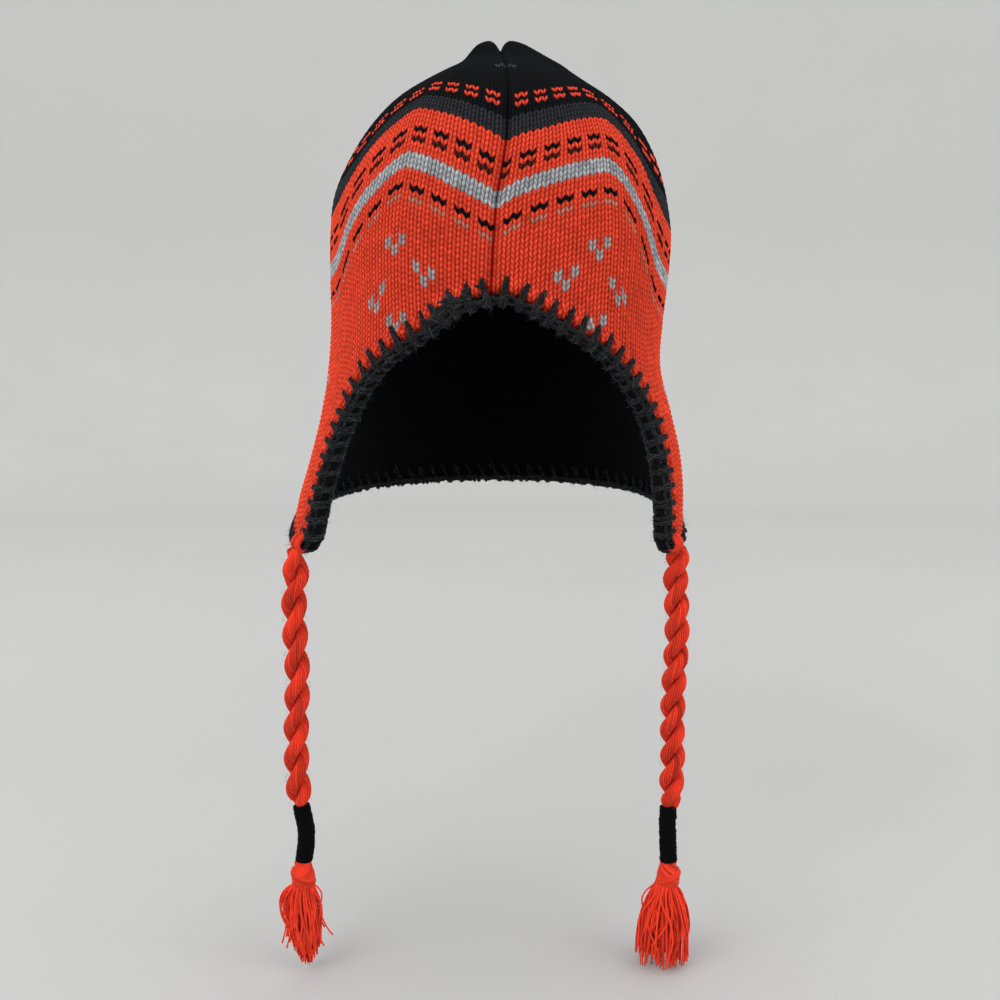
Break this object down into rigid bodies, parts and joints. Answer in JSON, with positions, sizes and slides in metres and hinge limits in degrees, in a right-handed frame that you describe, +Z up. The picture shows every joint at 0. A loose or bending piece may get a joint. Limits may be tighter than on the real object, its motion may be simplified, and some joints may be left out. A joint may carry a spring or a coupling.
{
  "type": "knitted earflap hat",
  "caption": "Knitted hat with pointed earflaps, fleece lining, stitched charcoal edge, patterned bands and twisted yarn ties that end in wraps, knots and tassels.",
  "frame": {"origin": "middle of the head hollow, level with the front rim: where the head's girth fills the hat", "axes": "+Z up as worn, the face looks along -Y, +X on the right of a viewer in front of the hat"},
  "size_m": [0.2265, 0.2094, 0.5143],
  "materials": {
    "knit_wool": "stockinette knit in fine worsted yarn, red-orange with black, charcoal and pale grey bands",
    "fleece": "short matt brushed fleece, black",
    "charcoal_yarn": "thick fuzzy doubled yarn, charcoal",
    "red_yarn": "fine soft twisted yarn, red-orange",
    "black_yarn": "tightly wound matt yarn, black"
  },
  "bodies": {
    "root": {"knit_shell": "knit_wool", "fleece_lining": "fleece", "edge_roll": "charcoal_yarn", "tie_loop_left": "red_yarn", "tie_loop_right": "red_yarn", "tie_rope_left": "red_yarn", "tie_rope_right": "red_yarn", "tie_wrap_left": "black_yarn", "tie_wrap_right": "black_yarn", "tie_knot_left": "red_yarn", "tie_knot_right": "red_yarn", "tassel_left": "red_yarn", "tassel_right": "red_yarn"}
  },
  "joints": []
}
